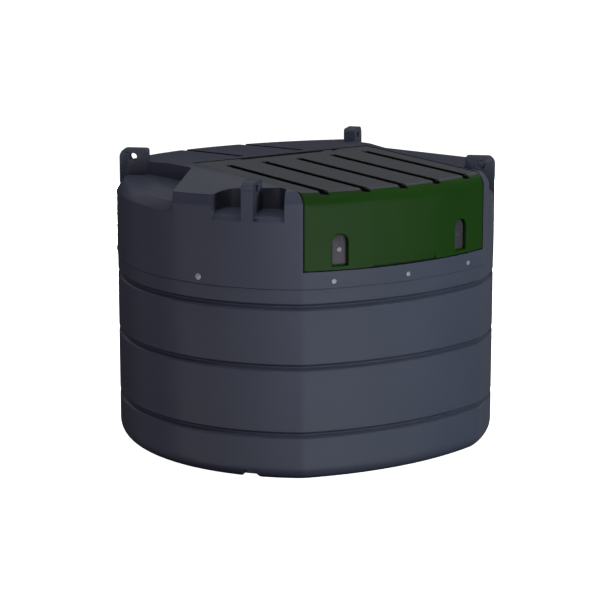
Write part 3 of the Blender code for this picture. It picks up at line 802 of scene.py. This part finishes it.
# Painted shade: the upright walls of the lid's well take the black material.
for face in cover.data.polygons:
    x, y, z = face.center
    in_well = abs(x) < SIDE_X + reach and SILL_BACK_Y - reach < y < REAR_EDGE_Y + reach
    if in_well and z < ROOF_TOP - 0.004 and abs(face.normal.z) < 0.5:
        face.material_index = 1
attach(cover, "tank")
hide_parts("cover_left", "cover_right", "cover_rear", "cover_front")
report(cover)

# %% [markdown]
# ## The lid
#
# The lid is one panel: it starts at the hinge line, runs forwards as the slatted top, bends over the
# edge and comes down as the flush green front. Its section is the same idea at every station across,
# only the front's distance changes with the flattened arc. So it is lofted across the width, with
# closer stations where a groove will be pressed, and its side edges are rounded by shrinking the
# last stations.

# %% The lid's stations and section
LID_BOTTOM = 1.080
LID_HALF_WIDTH = SIDE_X - 0.0055
LID_THICKNESS = 0.036
LID_EDGE_ROUND = 0.004
HINGE_RADIUS = LID_THICKNESS / 2
HINGE_Y = REAR_EDGE_Y - 0.005 - HINGE_RADIUS
HINGE_Z = ROOF_TOP - HINGE_RADIUS
GROOVE_PITCH = 0.215
GROOVE_COUNT = 5
GROOVE_WIDTH = 0.046
GROOVE_OFFSETS = (0.0, 0.008, 0.0165, 0.020, 0.0207, 0.0215, 0.0223, 0.023, 0.0245, 0.029)
GROOVE_END_ROWS = (0.060, 0.066, 0.070, 0.074, 0.078, 0.081, 0.084, 0.087, 0.092, 0.11, 0.15, 0.19, 0.216,
                   0.222)


def lid_stations():
    """Distances across the lid: close together at each groove's edges, where the surface turns down."""
    stations = set()
    for index in range(GROOVE_COUNT):
        centre = (index - (GROOVE_COUNT - 1) / 2) * GROOVE_PITCH
        for offset in GROOVE_OFFSETS:
            stations.update((round(centre + offset, 5), round(centre - offset, 5)))
    between = [round(x, 5) for x in spread(-0.52, 0.52, 0.04)]
    stations.update([x for x in between if all(abs(x - near) > 0.008 for near in stations)])
    return sorted(stations)


def lid_section(x, inset):
    """Closed section at a distance x from the middle, as (y, z) points, shrunk by an inset."""
    face = front_y(x) + inset
    radius = HINGE_RADIUS - inset
    inner_bend = BEND_SIZE - LID_THICKNESS + inset
    centre_y = front_y(x) + BEND_SIZE
    centre_z = ROOF_TOP - BEND_SIZE
    points = []
    for step in range(9):
        turn = math.pi / 2 - math.pi * step / 8
        points.append((HINGE_Y + radius * math.cos(turn), HINGE_Z + radius * math.sin(turn)))
    for y in spread(0.2, centre_y + 0.03, 0.1):
        points.append((y, ROOF_TOP - LID_THICKNESS + inset))
    for step in range(7):
        turn = math.pi / 2 + math.pi / 2 * step / 6
        points.append((centre_y + inner_bend * math.cos(turn), centre_z + inner_bend * math.sin(turn)))
    back = front_y(x) + LID_THICKNESS - inset
    low = LID_BOTTOM + inset
    points += [(back, 1.25), (back, low + 0.004), (back - 0.004, low), (face + 0.004, low),
               (face + 0.001, low + 0.001), (face, low + 0.004)]
    points += [(face, z) for z in (1.10, 1.12, 1.16, 1.21, 1.26, 1.31, 1.36, 1.395)]
    shrink = 1 - inset / BEND_SIZE
    points += [(centre_y - (BEND_SIZE - deep) * shrink, centre_z + (BEND_SIZE - drop) * shrink)
               for deep, drop in LID_BEND]
    points += [(centre_y + shift, ROOF_TOP - inset) for shift in (0.004, 0.009)]
    rows = [*spread(centre_y + 0.015, 0.05, 0.05), *GROOVE_END_ROWS]
    return points + [(y, ROOF_TOP - inset) for y in rows]


def lid_rings():
    rings = []
    edge = LID_HALF_WIDTH - LID_EDGE_ROUND
    rounding = [(edge + LID_EDGE_ROUND * math.sin(turn), LID_EDGE_ROUND * (1 - math.cos(turn)))
                for turn in (0, math.pi / 6, math.pi / 3, math.pi / 2)]
    steps = [(-x, inset) for x, inset in reversed(rounding)]
    steps += [(x, 0.0) for x in lid_stations() if abs(x) < edge]
    steps += rounding
    return [[(x, y, z) for y, z in lid_section(x, inset)] for x, inset in steps]


lid = loft("lid", lid_rings())
report(lid)

# %% [markdown]
# The slat grooves repeat at an even pitch, so a node tree presses them into the top. At every point
# it finds the distance to the nearest groove's middle, turns it into a soft mask, and lowers the
# point to the groove's floor where the mask is full. Over the bend the surface itself drops below
# that floor, so each groove runs out in a rounded tip. The tree also dresses the lid: the top is grey
# to a little way over the bend, the grooves get a near-black painted shade and the rest is green.

# %% Groove rule
def groove_tree():
    names = ["Pitch", "Count", "Width", "Depth", "Softness", "Rear End", "End Length", "Top", "Bend Radius",
             "Front Arc Radius", "Arc Centre", "Material", "Top Material", "Groove Shade Material"]
    tree, given, target = new_tree("Press slat grooves", names)
    (pitch, count, width, depth, softness, rear_end, end_length, top, bend_radius, arc,
     arc_centre) = (given[name] for name in names[:11])
    x, y, z = split(tree, add_node(tree, 'GeometryNodeInputPosition').outputs[0])

    index = (x / pitch).math('ROUND')
    offset = (x - index * pitch).math('ABSOLUTE')
    inside = index.math('ABSOLUTE').math('LESS_THAN', count / 2.0)
    gone = ((y - (rear_end - end_length)) / end_length).math('MAXIMUM', 0.0).math('MINIMUM', 1.0)
    half = width * 0.5 * (1.0 - gone * gone).math('SQRT')
    mask = ((half - offset) / softness).math('MAXIMUM', 0.0).math('MINIMUM', 1.0)
    mask = mask * mask * (3.0 - mask * 2.0) * inside
    drop = (z - (top - depth)).math('MAXIMUM', 0.0) * mask
    down = add_node(tree, 'ShaderNodeCombineXYZ', {2: drop * -1.0}).outputs[0]
    moved = add_node(tree, 'GeometryNodeSetPosition', {'Geometry': given["Geometry"],
                                                       'Offset': down}).outputs[0]

    face = arc_centre - (arc * arc - x * x).math('SQRT')
    behind = y.math('GREATER_THAN', face + bend_radius * 0.62)
    deep_in = y.math('GREATER_THAN', face + bend_radius * 1.25)
    flat = behind * z.math('GREATER_THAN', top - 0.022)
    # Painted shade: the groove faces get the near-black material that stands in for their shadow.
    grooved = flat * mask.math('GREATER_THAN', 0.60 - deep_in * 0.55)
    geometry = add_node(tree, 'GeometryNodeRealizeInstances', {'Geometry': moved}).outputs[0]
    for material, where in (("Material", True), ("Top Material", flat), ("Groove Shade Material", grooved)):
        geometry = dress(tree, geometry, given[material], where)
    tree.links.new(geometry, target.inputs[0])
    return tree


run_tree(lid, groove_tree(), {"Pitch": GROOVE_PITCH, "Count": float(GROOVE_COUNT), "Width": GROOVE_WIDTH,
                              "Depth": 0.019, "Softness": 0.003, "Rear End": 0.088, "End Length": 0.018,
                              "Top": ROOF_TOP, "Bend Radius": BEND_SIZE, "Front Arc Radius": FRONT_ARC_RADIUS,
                              "Arc Centre": ARC_CENTRE, "Material": lid_green, "Top Material": slat_grey,
                              "Groove Shade Material": groove_painted_shade})
report(lid)

# %% [markdown]
# The lid's details are cut out of it: a slot for the hinge blocks, a scooped hand grip that fades out
# above the lower edge, and two arched recesses for the lock plates. The arch cutter widens at its
# mouth, which leaves a rounded rim without any bevel.

# %% Lid details
LOCK_X = 0.367
LOCK_BOTTOM = 1.099
LOCK_HEIGHT = 0.162
LOCK_WIDTH = 0.086
LOCK_RECESS = 0.024
LOCK_RIM = ((-0.02, -0.0030), (0.0, -0.0030), (0.0012, -0.0010), (0.0035, 0.0), (LOCK_RECESS, 0.0))
GRIP_HALF_WIDTH = 0.190
GRIP_SCOOP = ((-0.02, -0.02), (0.016, -0.02), (0.013, 0.002), (0.006, 0.006), (0.0004, 0.037), (-0.02, 0.038))
HINGE_SLOT_ENDS = (-0.3165, 0.338)


def lock_frame(side):
    """Frame on the lid's front at a lock: X across, Y into the lid, Z up."""
    x = side * LOCK_X
    lean = math.atan2(x, ARC_CENTRE - front_y(x))
    return Matrix.Translation((x, front_y(x), 0)) @ Matrix.Rotation(lean, 4, 'Z')


def arch_outline(margin):
    half = LOCK_WIDTH / 2 - margin
    low = LOCK_BOTTOM + margin
    centre = LOCK_BOTTOM + LOCK_HEIGHT - LOCK_WIDTH / 2
    points = [(-half, low + 0.004), (-half + 0.0012, low + 0.0012), (-half + 0.004, low), (half - 0.004, low),
              (half - 0.0012, low + 0.0012), (half, low + 0.004)]
    turns = spread(0, math.pi, 0.13)
    return points + [(half * math.cos(turn), centre + half * math.sin(turn)) for turn in turns]


def arch_solid(name, side, levels):
    """Loft of arches; each level is a depth below the lid's face and a margin inside the recess."""
    rings = [[(x, depth, z) for x, z in arch_outline(margin)] for depth, margin in levels]
    solid = loft(name, rings)
    solid.data.transform(lock_frame(side))
    return solid


def grip_cutter():
    return loft("grip cutter", [[(x, front_y(x) + deep, LID_BOTTOM + rise) for deep, rise in GRIP_SCOOP]
                                for x in spread(-GRIP_HALF_WIDTH, GRIP_HALF_WIDTH, 0.02)])


def hinge_slot_cutter():
    low, high = HINGE_SLOT_ENDS
    front, beyond = HINGE_Y - 0.032, 0.4
    return prism("hinge slot cutter", [(low, front), (high, front), (high, beyond), (low, beyond)],
                 HINGE_Z - 0.05, HINGE_Z + 0.05)


recesses = [arch_solid("lock recess cutter", side, LOCK_RIM) for side in (-1, 1)]
cut(lid, hinge_slot_cutter(), grip_cutter(), *recesses)
smooth(lid, 38)
lid.modifiers.new("Weighted normals", 'WEIGHTED_NORMAL').keep_sharp = True
settle(lid)
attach(lid, "lid")
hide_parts("lid_shell")
report(lid)

# %% [markdown]
# ## Lifting lugs
#
# Each lug is a thick upright fin, moulded with the cover and flush with its wall, so that a crane's
# shackle can pass through the eye. The outer upper corner is cut off at a slant, the inner one is
# round, and the eye is flared on both sides to save the sling.

# %% Lugs
LUG_OUTER = 0.9990
LUG_TOP = 1.516
EYE_RADIUS = 0.0195
EYE_CENTRE = (0.925, 1.473)


def turned(name, profile, sides=40):
    """Solid of revolution about Z through (radius, z) points, with its ends capped."""
    turns = [2 * math.pi * index / sides for index in range(sides)]
    return loft(name, [[(radius * math.cos(turn), radius * math.sin(turn), z) for turn in turns]
                       for radius, z in profile])


def on_front_floor(reach):
    point = polar(reach, math.radians(LUG_ANGLES[0]))
    return front_floor(point.x, point.y)


def on_side_floor(reach):
    return SIDE_FLOOR


EYE_FLARE = ((0.0100, -0.006), (0.0042, 0.0), (0.0016, 0.0025), (0.0, 0.006))


def lug_mesh(name, angle, floor_at):
    sunk = 0.012
    outline = soften([(LUG_OUTER, floor_at(LUG_OUTER) - sunk - 0.055), (LUG_OUTER, LUG_TOP - 0.028),
                      (LUG_OUTER - 0.022, LUG_TOP), (LUG_INNER, LUG_TOP),
                      (LUG_INNER, floor_at(LUG_INNER) - sunk)], 0.016)
    half = LUG_THICKNESS / 2
    lug = loft(name, [[(across, -reach, z) for reach, z in outline] for across in (-half, half)])
    profile = [(EYE_RADIUS + wider, half - deep) for wider, deep in EYE_FLARE]
    profile += [(radius, -z) for radius, z in reversed(profile)]
    eye = turned("eye cutter", profile)
    reach, height = EYE_CENTRE
    eye.data.transform(Matrix.Translation((0, -reach, height)) @ Matrix.Rotation(math.pi / 2, 4, 'Y'))
    cut(lug, eye)
    round_edges(lug, 0.005)
    lug.data.transform(Matrix.Rotation(angle, 4, 'Z'))
    lug.data.materials.clear()
    lug.data.materials.append(slate_painted_shade)
    return lug


lugs = []
for side, word in ((-1, "left"), (1, "right")):
    for degrees, end, floor_at in zip(LUG_ANGLES, ("front", "rear"), (on_front_floor, on_side_floor)):
        lug = lug_mesh(f"lug_{end}_{word}", side * math.radians(degrees), floor_at)
        lugs.append(lug)
        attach(lug, "tank")
        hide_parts(f"lifting_lug_{end}_{word}")
        report(lug)

# %% [markdown]
# Shade is painted into the nooks: the slate is darkened, and its sheen lowered, where little light would
# reach. Rays are sent out from every face corner of the cover and the lugs, and the share that gets away is
# stored as an attribute, which the plastic reads as painted shade. The outer wall and the floors are left
# unshaded.

# %% Openness of the cover and the lugs
def ray_fan(count):
    """Directions over a half sphere about +Z, denser towards the pole."""
    golden = math.pi * (3 - math.sqrt(5))
    fan = []
    for index in range(count):
        share = (index + 0.5) / count
        turn = golden * index
        wide = math.sqrt(share)
        fan.append(Vector((wide * math.cos(turn), wide * math.sin(turn), math.sqrt(1 - share))))
    return fan


OUTER_WALL = 0.985


def store_openness(thing, blockers, reach=0.20):
    fan = ray_fan(32)
    values = thing.data.attributes.new("openness", 'FLOAT', 'CORNER').data
    for face in thing.data.polygons:
        on_wall = math.hypot(face.center.x, face.center.y) > OUTER_WALL and abs(face.normal.z) < 0.2
        bright = on_wall or face.normal.z > 0.7
        turn = face.normal.to_track_quat('Z', 'Y')
        rays = [turn @ ray for ray in fan]
        for loop in face.loop_indices:
            corner = thing.data.vertices[thing.data.loops[loop].vertex_index].co
            start = corner.lerp(face.center, 0.05) + face.normal * 0.0015
            open_rays = sum(1 for ray in rays if blockers.ray_cast(start, ray, reach)[0] is None)
            values[loop].value = 1.0 if bright else open_rays / len(rays)


points, faces = [], []
for thing in (cover, *lugs):
    first = len(points)
    points += [vertex.co.copy() for vertex in thing.data.vertices]
    faces += [[first + index for index in face.vertices] for face in thing.data.polygons]
blockers = BVHTree.FromPolygons(points, faces)
for thing in (cover, *lugs):
    store_openness(thing, blockers)
print("openness stored for", 1 + len(lugs), "pieces")

# %% [markdown]
# ## Lock plates and barrels
#
# A grey plate lies at the bottom of each arched recess, with a bright lock barrel in its middle.
# The plate has a rolled edge, and the barrel has a keyway.

# %% Locks
BARREL_HEIGHT = 1.179
PLATE_FACE = LOCK_RECESS - 0.006
PLATE_EDGE = ((LOCK_RECESS, 0.0065), (LOCK_RECESS - 0.004, 0.0065), (LOCK_RECESS - 0.0055, 0.0071),
              (PLATE_FACE, 0.0083))
BARREL_PROFILE = ((0.0125, -0.0005), (0.0125, 0.0016), (0.0118, 0.0024), (0.0108, 0.0024), (0.0104, 0.0018),
                  (0.0004, 0.0018))
KEYWAY = ((-0.0010, -0.0055), (0.0010, -0.0055), (0.0010, 0.0055), (-0.0010, 0.0055))


def lock_barrel(name, side):
    barrel = turned(name, BARREL_PROFILE, 36)
    cut(barrel, prism("keyway cutter", KEYWAY, 0.0004, 0.01))
    place = Matrix.Translation((0, PLATE_FACE, BARREL_HEIGHT)) @ Matrix.Rotation(math.pi / 2, 4, 'X')
    barrel.data.transform(lock_frame(side) @ place)
    return barrel


for side, word in ((-1, "left"), (1, "right")):
    plate = arch_solid(f"lock_plate_{word}_face", side, PLATE_EDGE)
    barrel = lock_barrel(f"lock_barrel_{word}_face", side)
    for piece, node, material, finish in ((plate, f"lock_plate_{word}", lock_grey, "lock_plate"),
                                          (barrel, f"lock_barrel_{word}", barrel_steel, "zinc_steel")):
        smooth(piece, 40)
        piece.data.materials.append(material)
        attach(piece, "lid")
        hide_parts(node)
        report(piece)

# %% [markdown]
# ## Bolts round the cover
#
# A row of flanged bolts holds the cover to the bund: three across the front, and two on each side and
# on the back, spaced wider. One bolt is modelled, and a node tree sets a copy at every angle, with
# its axis square to the wall. The tree finds the wall with the same rule as the bund.

# %% One bolt
BOLT_PROFILE = ((0.0165, 0.003), (0.0165, -0.0008), (0.0158, -0.0016), (0.0125, -0.0020), (0.0118, -0.0034),
                (0.0090, -0.0044), (0.0048, -0.0048), (0.0044, -0.0048), (0.0042, -0.0030))


def bolt_mesh(name):
    """A flanged bolt along Y, its flange at the origin and its head towards -Y."""
    bolt = turned(name, BOLT_PROFILE, 30)
    bolt.data.transform(Matrix.Rotation(-math.pi / 2, 4, 'X'))
    return bolt


def bolt_tree():
    tree, given, target = new_tree("Bolts round the plan", ["Count", "First Angle", "Angle Step", "Height",
                                                           "Sink", "Radius", "Crease Angle",
                                                           "Front Arc Radius", "Crease Softness", "Material"])
    line = add_node(tree, 'GeometryNodeMeshLine', {'Count': given["Count"]}).outputs[0]
    index = Field(tree, add_node(tree, 'GeometryNodeInputIndex').outputs[0])
    angle = given["First Angle"] + given["Angle Step"] * index
    radius = outline_field(given, angle) - given["Sink"]
    placed = place_at(tree, line, radius, angle, given["Height"])
    on_arc = (radius * angle.math('SINE') / given["Front Arc Radius"]).math('ARCSINE')
    in_front = angle.math('ABSOLUTE').math('LESS_THAN', given["Crease Angle"])
    facing = on_arc * in_front + angle * (1.0 - in_front)
    turn = add_node(tree, 'ShaderNodeCombineXYZ', {2: facing}).outputs[0]
    copies = add_node(tree, 'GeometryNodeInstanceOnPoints', {'Points': placed, 'Instance': given["Geometry"],
                                                            'Rotation': turn}).outputs[0]
    finish_tree(tree, copies, given, target)
    return tree


# %% Four runs of bolts
bolt_rule = bolt_tree()
BOLT_HEIGHT = 1.024
BOLT_RUNS = (("bolts_front", 3, -24.3, 25.2, 0.003), ("bolts_right", 2, 65.0, 50.5, 0.0),
             ("bolts_left", 2, -115.5, 50.5, 0.0), ("bolts_back", 2, 158.0, 44.0, 0.0))
for name, count, first, step, sink in BOLT_RUNS:
    bolts = bolt_mesh(name)
    run_tree(bolts, bolt_rule, {**PLAN, "Count": float(count), "First Angle": math.radians(first),
                                "Angle Step": math.radians(step), "Height": BOLT_HEIGHT, "Sink": sink,
                                "Material": zinc})
    smooth(bolts, 40)
    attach(bolts, "tank")
    report(bolts)

# %% [markdown]
# ## Fittings that the lid hides
#
# With the lid open you see the cabinet's floor, the filler neck and its cap, and the hinge blocks.
# They are plain CAD solids, so they keep their shape and only get a finish.

# %% Finish the fittings
FITTINGS = {"cabinet_floor": black_plastic_and_well_shade, "filler_neck": black_plastic_and_well_shade, "filler_cap": black_plastic_and_well_shade,
            "hinge_block_left": slate, "hinge_block_right": slate}
for node, finish in FITTINGS.items():
    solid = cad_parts[node]
    solid.data.materials.clear()
    solid.data.materials.append(finish)
print("fittings dressed")

# %% [markdown]
# ## Studio
#
# A plain pale floor and a white backdrop, as in a product picture. The key light stands low in front,
# a little to the right, so the flattened front is bright and the left side falls away. Fills keep the
# left and the back from going black, and a wide light above the roof shapes its planes.
#
# Those lights only shine: they don't show as reflections. The sheen comes from the world instead,
# which holds soft panels, each at an azimuth and an elevation. The panels low round the front give the
# walls their sheen, and the one behind the tank lights the roof at a grazing angle.

# %% Floor and backdrop
def pale_floor():
    material, tree, shader = blank_material("pale floor")
    tone = blend(tree, noise(tree, 1.5, Detail=3.0), (0.86, 0.86, 0.86), (0.90, 0.90, 0.90))
    tree.links.new(tone, shader.inputs['Base Color'])
    tree.links.new(tone, shader.inputs['Emission Color'])
    shader.inputs['Emission Strength'].default_value = 1.2
    shader.inputs['Roughness'].default_value = 0.9
    return material


builder = bmesh.new()
corners = [builder.verts.new(point) for point in ((-60, -60, 0), (60, -60, 0), (60, 60, 0), (-60, 60, 0))]
builder.faces.new(corners)
floor = link_mesh("floor", builder)
floor.data.materials.append(pale_floor())
floor.visible_diffuse = False
floor.visible_glossy = False


# %% Panels round the studio
def soft_step(tree, value, low, high):
    return Field(tree, ramp(tree, value, low, high, interpolation_type='SMOOTHSTEP'))


def panel(azimuth, elevation, middle, half_width, low, high, strength, soft=8.0):
    """Brightness of a pale panel; its middle, half width, elevations and soft edge are in degrees."""
    tree = azimuth.tree
    middle, half_width, low, high, soft = map(math.radians, (middle, half_width, low, high, soft))
    across = (azimuth - middle).math('COSINE')
    mask = soft_step(tree, across, math.cos(half_width + soft) - 0.01, math.cos(half_width))
    mask = mask * soft_step(tree, elevation, low - soft, low) * soft_step(tree, elevation, high + soft, high)
    return mask * strength


# Middle, half width, lowest and highest elevation, strength, and a soft edge where it isn't 8.
PANELS = (
    (150, 60, 16, 40, 0.230, 3),
    (-35, 22, -45, -6, 0.393),
    (0, 14, -45, -6, 0.330),
    (20, 22, -45, -6, 0.250),
    (-90, 22, -45, -6, 0.365),
    (-130, 25, -45, -6, 0.068),
    (105, 20, -30, 6, 0.060),
    (150, 60, -30, -4, 0.026),
)
world = bpy.data.worlds.new("studio")
bpy.context.scene.world = world
world.use_nodes = True
tree = world.node_tree
tree.nodes.clear()
direction = add_node(tree, 'ShaderNodeTexCoord').outputs['Generated']
east, north, up = split(tree, direction)
azimuth = east.math('ARCTAN2', north * -1.0)
elevation = up.math('ARCSINE')
first, *others = (panel(azimuth, elevation, *sizes) for sizes in PANELS)
glow = sum(others, first)
felt = add_node(tree, 'ShaderNodeBackground', {'Color': (1.0, 1.0, 1.0, 1.0), 'Strength': glow})
seen = add_node(tree, 'ShaderNodeBackground', {'Color': (1.0, 1.0, 1.0, 1.0), 'Strength': 1.0})
from_camera = add_node(tree, 'ShaderNodeLightPath').outputs['Is Camera Ray']
mixed = add_node(tree, 'ShaderNodeMixShader', {0: from_camera, 1: felt.outputs[0], 2: seen.outputs[0]})
add_node(tree, 'ShaderNodeOutputWorld', {'Surface': mixed.outputs[0]})
print("panels round the studio:", len(PANELS))


# %% Lights
TANK_MIDDLE = Vector((0, 0, 0.8))


def soft_light(name, azimuth, elevation, distance, size, power, colour=(1, 1, 1)):
    """A large area light aimed at the tank; azimuth 0 is straight in front, positive to the right."""
    data = bpy.data.lights.new(name, 'AREA')
    data.shape = 'RECTANGLE'
    data.size, data.size_y = size
    data.energy = power
    data.color = colour
    lamp = bpy.data.objects.new(name, data)
    turn, lift = math.radians(azimuth), math.radians(elevation)
    away = polar(math.cos(lift), turn, math.sin(lift))
    lamp.location = TANK_MIDDLE + away * distance
    lamp.rotation_euler = (-away).to_track_quat('-Z', 'Y').to_euler()
    lamp.visible_glossy = False
    bpy.context.collection.objects.link(lamp)
    return lamp


soft_light("key", 19, 8, 8.0, (1.6, 1.2), 600, (0.90, 1.0, 0.97))
soft_light("front fill", -38, 8, 8.0, (4.0, 1.6), 125, (1.05, 1.0, 1.1))
soft_light("left fill", -105, 6, 8.0, (4.0, 2.0), 96, (1.15, 1.0, 1.2))
soft_light("back fill", 150, 2, 8.0, (4.0, 1.6), 900, (0.95, 1.0, 1.0))
soft_light("top", 0, 88, 6.0, (8.0, 8.0), 420)

# %% Camera
camera_data = bpy.data.cameras.new("camera")
camera_data.lens = 139.6
camera_data.sensor_width = 36.0
camera_data.clip_end = 200.0
camera = bpy.data.objects.new("camera", camera_data)
camera.location = (-6.562, -10.245, 3.460)
camera.rotation_euler = Vector((0.5241, 0.8227, -0.2202)).to_track_quat('-Z', 'Y').to_euler()
bpy.context.collection.objects.link(camera)
scene = bpy.context.scene
scene.camera = camera
scene.view_settings.view_transform = 'Standard'
print("camera at", [round(value, 3) for value in camera.location])
